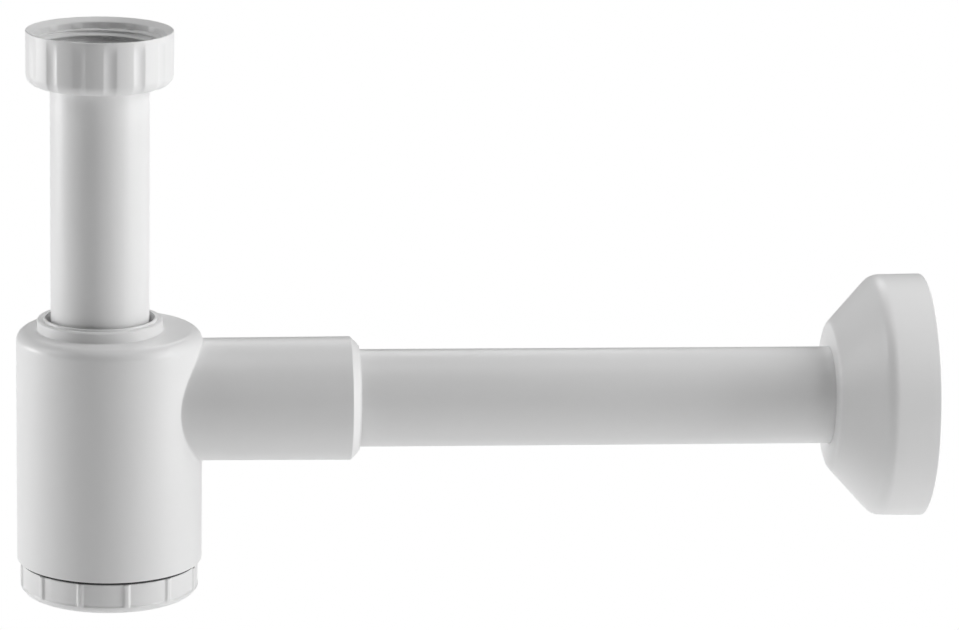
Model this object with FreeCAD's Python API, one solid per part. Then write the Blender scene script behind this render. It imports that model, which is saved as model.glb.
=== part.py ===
import FreeCAD, Part
import math
import os

# A bottle trap for a washbasin: a moulded bottle with a sliding inlet tube and union nut on top,
# a side socket with an outlet tube and a wall rosette, and a screwed cleaning cap underneath.
# Millimetres. The origin is the centre of the union washer's seating face, on the inlet axis.
# +Z points up out of the nut and +X along the outlet tube, towards the wall.

V = FreeCAD.Vector

# Standard pipe sizes
tube_outer_r = 16.0
tube_wall = 1.8
thread_crest_r = 19.476
thread_root_r = 20.955

# Clearances
running_gap = 0.05
loose_gap = 0.4
tube_guide_gap = 0.6
press_gap = 0.02

# Union nut, flange and washer
washer_thickness = 2.0
flange_thickness = 2.0
nut_lip = 2.8
nut_outer_r = 23.8
nut_height = 17.6
nut_edge_r = 3.6
nut_top_edge_r = 0.3
nut_counterbore_r = 21.4
nut_counterbore_depth = 3.4
nut_lead_in_depth = 1.4
nut_rim_land = 0.35
nut_thread_lead = 0.5
groove_count = 15
groove_depth = 0.4
groove_cutter_r = 9.0
groove_phase_deg = 13.2
groove_top_margin = 2.4

# Inlet tube
inlet_tube_length = 110.2
tube_end_bevel = 0.8
tube_flange_fillet = 0.25

# Bottle body
body_offset = 3.0
body_outer_r = 30.2
body_wall = 2.5
body_edge_r = 3.6
shoulder_z = -88.0
body_bottom_z = -165.1

# Neck, its seal and the two retaining rings
neck_outer_r = 20.4
neck_top_z = -84.3
neck_bevel = 0.4
neck_root_fillet = 0.5
seal_chamber_r = 18.7
retainer_thickness = 1.0
retainer_proud = 0.6
retainer_slope = 0.7
retainer_height = 5.2
seal_height = 6.0
seal_lip_height = 1.4
seal_relief = 0.8

# Dip tube moulded inside the body
dip_wall = 1.8
dip_end_z = -158.1
dip_taper = 2.5

# Outlet socket
outlet_z = -111.7
socket_root_r = 19.9
socket_mouth_r = 20.25
socket_end_x = 83.8
socket_bevel = 2.2
socket_root_fillet = 0.8
outlet_seal_chamber_r = 17.6
outlet_retainer_length = 3.6
outlet_seal_length = 6.0
stop_x = 44.0

# Outlet tube
outlet_tube_length = 200.0
outlet_tube_insertion = 21.0
outlet_tube_recess = 8.0

# Wall rosette
rosette_depth = 30.6
rosette_rim_r = 40.0
rosette_rim_draft = 0.2
rosette_rim_length = 16.2
rosette_nose_r = 24.2
rosette_nose_fillet = 2.7
rosette_shoulder_fillet = 5.8
rosette_wall = 2.0
rosette_edge_r = 0.5

# Threaded mouth under the body
mouth_crest_r = 26.4
mouth_length = 14.0
mouth_lead = 0.6

# Cleaning cap and its gasket
gasket_thickness = 1.0
gasket_outer_r = 28.9
cap_outer_r = 29.5
cap_height = 10.3
cap_edge_r = 4.2
cap_floor = 2.2
cap_thread_gap = 0.3
cap_skirt_wall = 2.4
cap_skirt_height = 12.0
cap_skirt_bevel = 0.8
rib_count = 12
rib_width = 1.9
rib_height = 0.6
rib_phase_deg = 9.9
cap_band_height = 2.4

# Derived places
tube_bore_r = tube_outer_r - tube_wall
flange_r = thread_crest_r - loose_gap
nut_bottom_z = -(washer_thickness + flange_thickness + nut_lip)
nut_top_z = nut_bottom_z + nut_height
nut_floor_z = nut_bottom_z + nut_lip
inlet_tube_top_z = -washer_thickness
inlet_tube_end_z = inlet_tube_top_z - inlet_tube_length - flange_thickness
retainer_top_z = neck_top_z + retainer_proud
seal_top_z = retainer_top_z - retainer_height
seal_bottom_z = seal_top_z - seal_height
dip_bore_r = tube_outer_r + tube_guide_gap
dip_outer_r = dip_bore_r + dip_wall
body_inner_r = body_outer_r - body_wall
outlet_seal_end_x = socket_end_x + retainer_proud - outlet_retainer_length
outlet_tube_start_x = socket_end_x - outlet_tube_insertion
outlet_tube_end_x = outlet_tube_start_x + outlet_tube_length
rosette_end_x = outlet_tube_end_x + outlet_tube_recess
rosette_front_x = rosette_end_x - rosette_depth
cap_top_z = body_bottom_z - gasket_thickness
cap_bottom_z = cap_top_z - cap_height
cap_skirt_r = mouth_crest_r - cap_thread_gap
cap_inner_r = cap_skirt_r - cap_skirt_wall
cap_skirt_top_z = cap_top_z + cap_skirt_height

# The three axes that the pieces are turned about: a base point, the axis and the radius direction
INLET_AXIS = (V(0, 0, 0), V(0, 0, 1), V(1, 0, 0))
BODY_AXIS = (V(body_offset, 0, 0), V(0, 0, 1), V(1, 0, 0))
OUTLET_AXIS = (V(0, 0, outlet_z), V(1, 0, 0), V(0, 0, 1))


def outline_edges(points, axis_frame):
    """Closed outline through (radius, height) or (radius, height, corner radius) points, laid in the
    half plane of an axis, with tangent arcs in the corners."""
    base, axis, radial = axis_frame
    places = [base + radial * point[0] + axis * point[1] for point in points]
    count = len(points)
    corners = []
    for i, point in enumerate(points):
        here = places[i]
        radius = point[2] if len(point) > 2 else 0
        if radius <= 0:
            corners.append((here, None, here))
            continue
        back = (places[i - 1] - here).normalize()
        ahead = (places[(i + 1) % count] - here).normalize()
        half = back.getAngle(ahead) / 2
        inward = (back + ahead).normalize()
        centre = here + inward * (radius / math.sin(half))
        start = here + back * (radius / math.tan(half))
        end = here + ahead * (radius / math.tan(half))
        corners.append((start, centre - inward * radius, end))
    edges = []
    for i, (start, middle, end) in enumerate(corners):
        if middle is not None:
            edges.append(Part.Arc(start, middle, end).toShape())
        next_start = corners[(i + 1) % count][0]
        if end.distanceToPoint(next_start) > 1e-6:
            edges.append(Part.LineSegment(end, next_start).toShape())
    return edges


def turned(points, axis_frame):
    """Solid of revolution of an outline of (radius, height) points about one of the three axes."""
    base, axis, _ = axis_frame
    face = Part.Face(Part.Wire(outline_edges(points, axis_frame)))
    return clean_solid(face.revolve(base, axis, 360))


def plug(radius, low, high, axis_frame):
    """Plain cylinder of a radius between two heights along an axis."""
    base, axis, _ = axis_frame
    return Part.makeCylinder(radius, high - low, base + axis * low, axis)


def clean_solid(shape):
    """The one solid in a shape, with a positive volume."""
    solid = shape.Solids[0]
    if solid.Volume < 0:
        solid.reverse()
    return solid


def offset_outline(points, wall):
    """Open outline moved sideways by a wall, to the right of its direction, with mitred corners."""
    moved = []
    for i, point in enumerate(points):
        normals = []
        for a, b in ((i - 1, i), (i, i + 1)):
            if a < 0 or b >= len(points):
                continue
            run = math.hypot(points[b][0] - points[a][0], points[b][1] - points[a][1])
            normals.append(((points[b][1] - points[a][1]) / run, -(points[b][0] - points[a][0]) / run))
        nx = sum(n[0] for n in normals)
        ny = sum(n[1] for n in normals)
        scale = wall * len(normals) / (nx * nx + ny * ny)
        radius = max(point[2] - wall, 0) if len(point) > 2 else 0
        moved.append((point[0] + nx * scale, point[1] + ny * scale, radius))
    return moved


def union_nut():
    """Union nut with a parallel pipe thread at its crest radius, relieved above the lip that
    carries the tube's flange, and shallow grip grooves outside."""
    hole_r = tube_outer_r + loose_gap
    step_z = nut_top_z - nut_counterbore_depth
    nut = turned([
        (hole_r, nut_bottom_z, 0.4),
        (nut_outer_r, nut_bottom_z, nut_edge_r),
        (nut_outer_r, nut_top_z, nut_top_edge_r),
        (nut_outer_r - nut_rim_land, nut_top_z),
        (nut_counterbore_r, nut_top_z - nut_lead_in_depth),
        (nut_counterbore_r, step_z),
        (thread_crest_r, step_z - nut_thread_lead),
        (thread_crest_r, 0),
        (thread_root_r, 0),
        (thread_root_r, nut_floor_z),
        (hole_r, nut_floor_z),
    ], INLET_AXIS)
    reach = nut_outer_r + groove_cutter_r - groove_depth
    cutters = []
    for i in range(groove_count):
        angle = math.radians(groove_phase_deg + 360.0 / groove_count * i)
        at = V(reach * math.cos(angle), reach * math.sin(angle), nut_bottom_z - 1)
        cutters.append(Part.makeCylinder(groove_cutter_r, nut_height - groove_top_margin + 1, at))
    return clean_solid(nut.cut(cutters))


def union_washer():
    """Flat rubber washer between the tube's flange and the basin's waste."""
    return turned([
        (tube_bore_r, -washer_thickness),
        (flange_r, -washer_thickness, 0.3),
        (flange_r, 0, 0.3),
        (tube_bore_r, 0),
    ], INLET_AXIS)


def inlet_tube():
    """Vertical tube with a flange that hangs on the nut's lip and a bevelled lower end."""
    under_flange_z = inlet_tube_top_z - flange_thickness
    return turned([
        (tube_bore_r, inlet_tube_end_z),
        (tube_outer_r - tube_end_bevel, inlet_tube_end_z),
        (tube_outer_r, inlet_tube_end_z + 2 * tube_end_bevel),
        (tube_outer_r, under_flange_z, tube_flange_fillet),
        (flange_r, under_flange_z),
        (flange_r, inlet_tube_top_z, 0.3),
        (tube_bore_r, inlet_tube_top_z),
    ], INLET_AXIS)


def ring_seal(outer_r, low, high, axis_frame):
    """Rubber ring with a lip at each end that runs on the tube, and a relieved middle."""
    lip_r = tube_outer_r + running_gap
    return turned([
        (lip_r, low, 0.3),
        (outer_r, low, 0.4),
        (outer_r, high, 0.4),
        (lip_r, high, 0.3),
        (lip_r, high - seal_lip_height),
        (lip_r + seal_relief, high - seal_lip_height - seal_relief),
        (lip_r + seal_relief, low + seal_lip_height + seal_relief),
        (lip_r, low + seal_lip_height),
    ], axis_frame)


def inlet_seal():
    """Seal in the neck, on which the inlet tube slides and turns."""
    return ring_seal(seal_chamber_r - running_gap, seal_bottom_z, seal_top_z, INLET_AXIS)


def outlet_seal():
    """Seal in the socket's chamber, on which the outlet tube slides and turns."""
    start = outlet_seal_end_x - outlet_seal_length
    return ring_seal(outlet_seal_chamber_r - running_gap, start, outlet_seal_end_x, OUTLET_AXIS)


def seal_retainer(chamber_r, seal_end, mouth, axis_frame):
    """Ring pressed into a seal's chamber over the seal. It stands a little proud of the mouth, and its
    end slopes up to a fine edge round the tube."""
    inner_r = chamber_r - retainer_thickness
    outer_r = chamber_r - press_gap
    top = mouth + retainer_proud
    return turned([
        (inner_r, seal_end),
        (outer_r, seal_end, 0.2),
        (outer_r, top - retainer_slope),
        (inner_r + retainer_slope, top, 0.15),
        (inner_r, top, 0.15),
    ], axis_frame)


def inlet_seal_retainer():
    """Retaining ring in the neck's mouth."""
    return seal_retainer(seal_chamber_r, seal_top_z, neck_top_z, INLET_AXIS)


def outlet_seal_retainer():
    """Retaining ring in the socket's mouth."""
    return seal_retainer(outlet_seal_chamber_r, outlet_seal_end_x, socket_end_x, OUTLET_AXIS)


def body_outside():
    """Outside of the bottle with the neck and the socket, blended where they meet."""
    bottle = turned([
        (0, body_bottom_z),
        (body_outer_r, body_bottom_z, 0.3),
        (body_outer_r, shoulder_z, body_edge_r),
        (0, shoulder_z),
    ], BODY_AXIS)
    neck = turned([
        (0, shoulder_z - body_wall),
        (neck_outer_r, shoulder_z - body_wall),
        (neck_outer_r, neck_top_z - neck_bevel, 0.3),
        (neck_outer_r - neck_bevel, neck_top_z, 0.2),
        (0, neck_top_z),
    ], INLET_AXIS)
    socket = turned([
        (0, body_offset),
        (socket_root_r, body_offset),
        (socket_mouth_r, socket_end_x - socket_bevel, 0.3),
        (socket_mouth_r - socket_bevel, socket_end_x, 0.2),
        (0, socket_end_x),
    ], OUTLET_AXIS)
    whole = bottle.fuse([neck, socket]).removeSplitter()
    neck_edges = []
    socket_edges = []
    for edge in whole.Edges:
        middle = edge.BoundBox.Center
        flat = edge.BoundBox.ZLength < 0.01
        if flat and abs(middle.z - shoulder_z) < 0.01 and abs(edge.BoundBox.XLength - 2 * neck_outer_r) < 0.1:
            neck_edges.append(edge)
        spans_socket = edge.BoundBox.ZLength > socket_root_r and edge.BoundBox.YLength > 1
        if spans_socket and edge.BoundBox.XMin > body_offset + 1 and edge.BoundBox.XMax < body_offset + body_outer_r + 1:
            socket_edges.append(edge)
    whole = whole.makeFillet(neck_root_fillet, neck_edges)
    return clean_solid(whole.makeFillet(socket_root_fillet, socket_edges)), len(neck_edges), len(socket_edges)


def trap_body():
    """One moulding: bottle, neck with the seal chamber, dip tube, outlet socket and threaded mouth."""
    outside, neck_edges, socket_edges = body_outside()
    print("blended edges: neck", neck_edges, "socket", socket_edges)
    mouth_top_z = body_bottom_z + mouth_length
    step = body_inner_r - mouth_crest_r
    cavity = turned([
        (0, body_bottom_z - 1),
        (mouth_crest_r + mouth_lead, body_bottom_z - 1),
        (mouth_crest_r + mouth_lead, body_bottom_z),
        (mouth_crest_r, body_bottom_z + mouth_lead),
        (mouth_crest_r, mouth_top_z),
        (body_inner_r, mouth_top_z + step),
        (body_inner_r, shoulder_z - body_wall, 2.0),
        (0, shoulder_z - body_wall),
    ], BODY_AXIS)
    dip = turned([
        (0, dip_end_z),
        (dip_outer_r, dip_end_z, 0.4),
        (dip_outer_r, seal_bottom_z - dip_taper),
        (neck_outer_r, seal_bottom_z - dip_taper + (neck_outer_r - dip_outer_r)),
        (neck_outer_r, shoulder_z - 0.5),
        (0, shoulder_z - 0.5),
    ], INLET_AXIS)
    inlet_bore = turned([
        (0, dip_end_z - 1),
        (dip_bore_r, dip_end_z - 1),
        (dip_bore_r, seal_bottom_z),
        (seal_chamber_r, seal_bottom_z),
        (seal_chamber_r, neck_top_z + 1),
        (0, neck_top_z + 1),
    ], INLET_AXIS)
    socket_bore_r = tube_outer_r + loose_gap
    outlet_bore = turned([
        (0, body_offset + dip_outer_r + 1),
        (tube_bore_r, body_offset + dip_outer_r + 1),
        (tube_bore_r, stop_x),
        (socket_bore_r, stop_x),
        (socket_bore_r, outlet_seal_end_x - outlet_seal_length),
        (outlet_seal_chamber_r, outlet_seal_end_x - outlet_seal_length),
        (outlet_seal_chamber_r, socket_end_x + 1),
        (0, socket_end_x + 1),
    ], OUTLET_AXIS)
    shell = clean_solid(outside.cut(cavity))
    shell = clean_solid(shell.fuse(dip))
    return clean_solid(shell.cut([inlet_bore, outlet_bore]))


def outlet_tube():
    """Horizontal tube from the socket to just inside the rosette, bevelled at both ends."""
    return turned([
        (tube_bore_r, outlet_tube_start_x),
        (tube_outer_r - tube_end_bevel, outlet_tube_start_x),
        (tube_outer_r, outlet_tube_start_x + 2 * tube_end_bevel),
        (tube_outer_r, outlet_tube_end_x - 2 * tube_end_bevel),
        (tube_outer_r - tube_end_bevel, outlet_tube_end_x),
        (tube_bore_r, outlet_tube_end_x),
    ], OUTLET_AXIS)


def wall_rosette():
    """Conical shell that grips the tube at its nose and covers the wall hole with its rim."""
    hole_r = tube_outer_r + running_gap
    cone_end_x = rosette_end_x - rosette_rim_length
    outer = [
        (hole_r, rosette_front_x),
        (rosette_nose_r, rosette_front_x, rosette_nose_fillet),
        (rosette_rim_r - rosette_rim_draft, cone_end_x, rosette_shoulder_fillet),
        (rosette_rim_r, rosette_end_x),
    ]
    inner = offset_outline(outer, -rosette_wall)
    outer[-1] = (rosette_rim_r, rosette_end_x, rosette_edge_r)
    inner[0] = (hole_r, rosette_front_x + rosette_wall)
    inner[-1] = (rosette_rim_r - rosette_wall, rosette_end_x)
    return turned(outer + inner[::-1], OUTLET_AXIS)


def cap_gasket():
    """Flat black ring between the body's rim and the cap."""
    return turned([
        (cap_skirt_r + running_gap, cap_top_z),
        (gasket_outer_r, cap_top_z),
        (gasket_outer_r, body_bottom_z),
        (cap_skirt_r + running_gap, body_bottom_z),
    ], BODY_AXIS)


def cleaning_cap():
    """Screwed cup under the bottle: a skirt with the male thread inside the mouth, and a grip rim
    with upright ribs between a plain band below and the gasket above."""
    cap = turned([
        (0, cap_bottom_z),
        (cap_outer_r, cap_bottom_z, cap_edge_r),
        (cap_outer_r, cap_top_z),
        (cap_skirt_r, cap_top_z),
        (cap_skirt_r, cap_skirt_top_z - cap_skirt_bevel),
        (cap_skirt_r - cap_skirt_bevel, cap_skirt_top_z),
        (cap_inner_r, cap_skirt_top_z),
        (cap_inner_r, cap_bottom_z + cap_floor, 2.0),
        (0, cap_bottom_z + cap_floor),
    ], BODY_AXIS)
    panel_low = cap_bottom_z + cap_band_height
    panel = plug(cap_outer_r + 1, panel_low, cap_top_z + 1, BODY_AXIS)
    panel = panel.cut(plug(cap_outer_r - rib_height, panel_low - 1, cap_top_z + 2, BODY_AXIS))
    ribs = []
    for i in range(rib_count):
        rib = Part.makeBox(cap_outer_r, rib_width, cap_height + 4)
        rib.translate(V(2, -rib_width / 2, panel_low - 1))
        rib.rotate(V(0, 0, 0), V(0, 0, 1), rib_phase_deg + 360.0 / rib_count * i)
        rib.translate(V(body_offset, 0, 0))
        ribs.append(rib)
    cap = clean_solid(cap.cut(panel.cut(ribs)))
    return cap


pieces = {
    "union_nut": union_nut,
    "union_washer": union_washer,
    "inlet_tube": inlet_tube,
    "inlet_seal": inlet_seal,
    "inlet_seal_retainer": inlet_seal_retainer,
    "trap_body": trap_body,
    "outlet_seal": outlet_seal,
    "outlet_seal_retainer": outlet_seal_retainer,
    "outlet_tube": outlet_tube,
    "wall_rosette": wall_rosette,
    "cap_gasket": cap_gasket,
    "cleaning_cap": cleaning_cap,
}

os.makedirs("parts", exist_ok=True)
for name, make in pieces.items():
    solid = make()
    solid.exportStep("parts/" + name + ".step")
    box = solid.BoundBox
    print(name, solid.isValid(), round(solid.Volume), "mm3",
          [round(v, 2) for v in (box.XMin, box.XMax, box.YMin, box.YMax, box.ZMin, box.ZMax)])
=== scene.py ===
import math

import bpy
import numpy as np
from mathutils import Matrix, Vector


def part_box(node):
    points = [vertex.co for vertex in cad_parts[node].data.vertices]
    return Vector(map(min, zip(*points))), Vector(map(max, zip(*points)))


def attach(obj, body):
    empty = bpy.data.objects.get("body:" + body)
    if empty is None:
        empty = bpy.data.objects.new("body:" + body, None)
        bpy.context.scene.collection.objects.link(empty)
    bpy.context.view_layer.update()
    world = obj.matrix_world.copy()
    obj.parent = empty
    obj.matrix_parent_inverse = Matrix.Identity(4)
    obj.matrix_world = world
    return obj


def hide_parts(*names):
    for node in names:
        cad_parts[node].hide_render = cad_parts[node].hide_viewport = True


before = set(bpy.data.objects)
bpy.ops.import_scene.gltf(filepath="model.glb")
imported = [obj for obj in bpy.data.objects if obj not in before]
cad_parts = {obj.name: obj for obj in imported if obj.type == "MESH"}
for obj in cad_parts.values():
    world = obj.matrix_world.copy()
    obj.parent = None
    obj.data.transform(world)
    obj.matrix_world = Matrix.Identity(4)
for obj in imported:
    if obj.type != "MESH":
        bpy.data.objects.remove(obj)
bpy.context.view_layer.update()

# A bottle trap's visible surfaces, finishes, light and camera. Lengths are millimetres until a mesh
# is made, where MM turns them into metres. Overall sizes are read from the fixed frame's pieces.
MM = 0.001

# Fineness of the surfaces: steps along an outline, columns round a piece and rows of a thread
ARC_STEP = math.radians(8)
EDGE_SUPPORT = 0.15
LONGEST_RUN = 6.0
FINE_RUN = 1.5
ROSETTE_RUN = 2.0
BODY_WALL_RUN = 1.3
BODY_CAVITY_RUN = 1.15
SHARP_ANGLE = math.radians(33)
TUBE_COLUMNS = 240
NUT_COLUMNS = 600
CAP_COLUMNS = 480
BODY_COLUMNS = 200
FLUTE_CROWDING = 0.3
RIB_CROWDING = 0.6
NUT_THREAD_ROWS = 55
CAP_THREAD_ROWS = 47
MOUTH_THREAD_ROWS = 55
FILLET_RINGS = 7
POLE_RING_R = 1.5
RING_GAP = 0.1
SUPPORT_GAP = 0.2

# The window in the bottle's wall that the socket's rings join, and shares of the way between rings
WINDOW_HALF_COLUMNS = 28
WINDOW_BELOW_OUTLET = 22.4
WINDOW_BELOW_SHOULDER = 0.9
SHOULDER_SHARES = np.array([0.04, 0.35, 0.65, 0.96])
SOCKET_SHARES = (0.01, 0.05, 0.2, 0.4, 0.6, 0.8)
OUTER_PATCH_SHARES = (0.8, 0.6, 0.4, 0.2, 0.06)
INNER_PATCH_SHARES = (0.06, 0.3, 0.65)
BORE_SHARES = (0.5, 1.0)

# Corner radii of small edges
HAIR_EDGE = 0.1
FINE_EDGE = 0.15
SMALL_EDGE = 0.2
SOFT_EDGE = 0.3
ROUND_EDGE = 0.4
BROAD_EDGE = 0.5

# Tube and seal walls
TUBE_R = 16.0
TUBE_WALL = 1.8
TUBE_BEVEL = 0.8
FLANGE_THICKNESS = 2.0
FLANGE_FILLET = 0.25
LIP_R = 16.05
LIP_HEIGHT = 1.4
LIP_RELIEF = 0.8

# Union nut
NUT_HOLE_R = 16.4
NUT_LIP = 2.8
NUT_EDGE_R = 3.6
NUT_COUNTERBORE_R = 21.4
NUT_COUNTERBORE_DEPTH = 3.4
NUT_LEAD_IN_DEPTH = 1.4
NUT_RIM_LAND = 0.35
NUT_CREST_R = 19.476
NUT_ROOT_R = 20.955
NUT_PITCH = 2.309
NUT_THREAD_SHARPNESS = 1.1
NUT_THREAD_LEAD_SLOPE = 1.6
NUT_LEAD_IN_EDGE = 0.6
NUT_RIM_EDGE = 0.12
FLUTE_COUNT = 15
FLUTE_DEPTH = 0.4
FLUTE_HALF_WIDTH = 2.1
FLUTE_TURN = math.radians(13.2)
FLUTE_TOP_MARGIN = 2.4
FLUTE_FADE = 0.8
FLUTE_SOFTNESS = 0.05
FLUTE_INWARD_FADE = 1.5
NUT_RIM_MARGIN = 0.5

# Bottle body
BODY_EDGE_R = 3.6
BODY_WALL = 2.5
BODY_RIM_R = 0.4
CEILING_R = 2.0
NECK_R = 20.4
NECK_HEIGHT = 3.7
NECK_BEVEL = 0.4
NECK_ROOT_R = 0.5
NECK_CEILING_R = 0.8
NECK_CEILING_START = 1.0
CHAMBER_R = 18.7
RING_THICKNESS = 0.98
RING_SLOPE = 0.7
DIP_BORE_R = 16.6
DIP_WALL = 1.8
DIP_BELOW_RIM = 7.0
DIP_TAPER = 2.5
MOUTH_CREST_R = 26.4
MOUTH_LENGTH = 14.0
MOUTH_LEAD = 0.6
CAP_PITCH = 3.0
CAP_THREAD_DEPTH = 0.9
CAP_THREAD_SHARPNESS = 2.2
CAP_THREAD_RISE = (0.3, 1.8)
CAP_THREAD_FALL = (2.5, 1.0)
MOUTH_THREAD_RISE = (0.8, 2.0)
MOUTH_THREAD_FALL = (1.2, 0.0)

# Outlet socket
SOCKET_ROOT_R = 19.9
SOCKET_MOUTH_R = 20.25
SOCKET_BEVEL = 2.2
SOCKET_FILLET = 0.8
SOCKET_BORE_R = 16.4
SOCKET_CHAMBER_R = 17.6
SOCKET_STOP_X = 44.0
SOCKET_STRAIGHT_MARGIN = 1.0
SOCKET_BORE_MARGIN = 0.5

# Wall rosette
ROSETTE_RIM_R = 40.0
ROSETTE_RIM_DRAFT = 0.2
ROSETTE_RIM_LENGTH = 16.2
ROSETTE_NOSE_R = 24.2
ROSETTE_NOSE_FILLET = 2.7
ROSETTE_SHOULDER_FILLET = 5.8
ROSETTE_WALL = 2.0
ROSETTE_INSIDE_FILLET = 0.6
ROSETTE_EDGE_R = 0.5

# Cleaning cap
CAP_INSET = 0.7
CAP_HEIGHT = 10.3
CAP_EDGE_R = 4.2
CAP_TOP_EDGE_R = 0.25
CAP_FLOOR = 2.2
CAP_INSIDE_EDGE_R = 2.0
CAP_THREAD_GAP = 0.3
GASKET_GAP = 0.05
CAP_SKIRT_WALL = 2.4
CAP_SKIRT_BEVEL = 0.8
RIB_COUNT = 12
RIB_WIDTH = 1.9
RIB_FLANK = 0.9
RIB_HEIGHT = 0.6
RIB_TURN = math.radians(9.9)
CAP_BAND_HEIGHT = 2.4
PANEL_INWARD_FADE = 1.0

# Camera and the photograph's frame
IMAGE_WIDTH = 959
FOCAL_PIXELS = 4760.7
SENSOR_WIDTH = 36.0
CAMERA_PLACE = (-24.1, -1504.7, 290.6)
CAMERA_YAW = math.radians(5.613)
CAMERA_PITCH = math.radians(13.912)
CAMERA_ROLL = math.radians(1.056)

# Floor and surroundings. The floor's drop leaves room for the bottle at its lowest with its cap unscrewed
FLOOR_DROP = 30.0
FLOOR_HALF_M = 3.0
FLOOR_GLOW = 0.21
SURROUNDINGS_GLOW = 0.0

# Each lamp has an azimuth and an elevation in degrees, then distance and side in metres, and watts
LAMP_TARGET_M = (0.12, 0.0, -0.09)
SOFTBOXES = {
    "left_rear_softbox": (-105, 3, 1.3, 0.5, 7.2),
    "left_top_softbox": (-90, 35, 1.3, 0.5, 3.4),
    "right_front_softbox": (75, 3, 1.3, 0.5, 7.0),
    "right_top_softbox": (90, 35, 1.3, 0.5, 5.1),
    "right_near_softbox": (60, 35, 0.6, 0.3, 0.8),
    "rear_top_softbox": (180, 35, 1.3, 0.5, 1.9),
    "rear_high_softbox": (180, 60, 1.3, 0.8, 1.8),
    "top_softbox": (0, 88, 1.3, 0.6, 2.3),
}


def span(node):
    """Lowest and highest corner of one of the frame's pieces, in millimetres. A round piece's faceted
    solid reaches its true radius at the high side of its first axis."""
    low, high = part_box(node)
    return np.round(np.array(low) / MM, 3), np.round(np.array(high) / MM, 3)


nut_low, nut_high = span("union_nut")
washer_low, washer_high = span("union_washer")
inlet_low, inlet_high = span("inlet_tube")
inlet_seal_low, inlet_seal_high = span("inlet_seal")
ring_low, ring_high = span("inlet_seal_retainer")
socket_ring_low, socket_ring_high = span("outlet_seal_retainer")
body_low, body_high = span("trap_body")
outlet_seal_low, outlet_seal_high = span("outlet_seal")
outlet_low, outlet_high = span("outlet_tube")
rosette_low, rosette_high = span("wall_rosette")
gasket_low, gasket_high = span("cap_gasket")
cap_low, cap_high = span("cleaning_cap")

body_r = body_high[1]
body_x = body_low[0] + body_r
outlet_z = outlet_high[2] - TUBE_R
shoulder_z = body_high[2] - NECK_HEIGHT
cap_top_z = cap_low[2] + CAP_HEIGHT
cap_r = body_r - CAP_INSET

# The axes that the pieces are turned about: a base point, two directions across it and the axis
INLET_AXIS = np.array([[0, 0, 0], [1, 0, 0], [0, 1, 0], [0, 0, 1]], float)
BODY_AXIS = np.array([[body_x, 0, 0], [1, 0, 0], [0, 1, 0], [0, 0, 1]], float)
OUTLET_AXIS = np.array([[0, 0, outlet_z], [0, 1, 0], [0, 0, 1], [1, 0, 0]], float)


def smooth_step(value, low, high):
    """0 below low, 1 above high and 3t^2 - 2t^3 between."""
    t = np.clip((value - low) / (high - low), 0, 1)
    return t * t * (3 - 2 * t)


def run_points(start, end, longest):
    """Points of a straight stretch without its ends: one close to each end, and even steps between."""
    length = np.linalg.norm(end - start)
    if length < 3 * EDGE_SUPPORT:
        return np.empty((0, 2))
    inner = length - 2 * EDGE_SUPPORT
    steps = max(1, math.ceil(inner / longest))
    share = (EDGE_SUPPORT + inner * np.linspace(0, 1, steps + 1)) / length
    return start + share[:, None] * (end - start)


def corner_points(before, here, after, rounding):
    """Arc of a rounded corner, tangent to its two sides: the first and last radius turned into each
    other by weights sin((1 - t) a) / sin a and sin(t a) / sin a."""
    if rounding == 0:
        return here[None]
    back = (before - here) / np.linalg.norm(before - here)
    ahead = (after - here) / np.linalg.norm(after - here)
    half = math.acos(np.clip(back @ ahead, -1, 1)) / 2
    inward = (back + ahead) / np.linalg.norm(back + ahead)
    centre = here + inward * rounding / math.sin(half)
    first = here + back * rounding / math.tan(half) - centre
    last = here + ahead * rounding / math.tan(half) - centre
    turn = math.pi - 2 * half
    t = np.linspace(0, 1, max(2, math.ceil(turn / ARC_STEP)) + 1)[:, None]
    return centre + (np.sin((1 - t) * turn) * first + np.sin(t * turn) * last) / math.sin(turn)


def outline(points, closed=False, longest=LONGEST_RUN):
    """(radius, height) rows along a line of (radius, height[, corner radius]) points, with arcs in the
    corners and close support points at the ends of its straight stretches."""
    places = [np.array(point[:2], float) for point in points]
    count = len(points)
    corners = []
    for i, point in enumerate(points):
        at_end = not closed and i in (0, count - 1)
        rounding = point[2] if len(point) > 2 and not at_end else 0
        corners.append(corner_points(places[i - 1], places[i], places[(i + 1) % count], rounding))
    rows = []
    for i, corner in enumerate(corners):
        rows.append(corner)
        if closed or i < count - 1:
            rows.append(run_points(corner[-1], corners[(i + 1) % count][0], longest))
    return np.concatenate(rows)


def even_angles(columns, crowd_count=0, crowd_turn=0.0, crowding=0.0):
    """Angles round a piece. With crowding k they gather at count places: a - k / n sin(n (a - turn))."""
    angles = -math.pi + 2 * math.pi * np.arange(columns) / columns
    if crowd_count:
        angles = angles - crowding / crowd_count * np.sin(crowd_count * (angles - crowd_turn))
    return angles


def revolve(radius, height, angles, axis):
    """Points base + radius (cos a, sin a) across the axis + height along it."""
    base, across, up, along = axis
    across_part = np.cos(angles)[None, :, None] * across + np.sin(angles)[None, :, None] * up
    return base + radius[..., None] * across_part + height[..., None] * along


def grid_quads(rows, columns, close_rows):
    """Corner numbers of a grid's quads, as an array of rows by columns. The columns wrap round."""
    row = np.arange(rows if close_rows else rows - 1)[:, None]
    column = np.arange(columns)[None, :]
    above = (row + 1) % rows * columns
    right = (column + 1) % columns
    here = row * columns
    return np.stack([here + column, here + right, above + right, above + column], -1)


def loop_quads(lower, upper):
    """Quads between two closed loops of vertex numbers of the same length."""
    return np.stack([lower, np.roll(lower, -1), np.roll(upper, -1), upper], -1)


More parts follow.
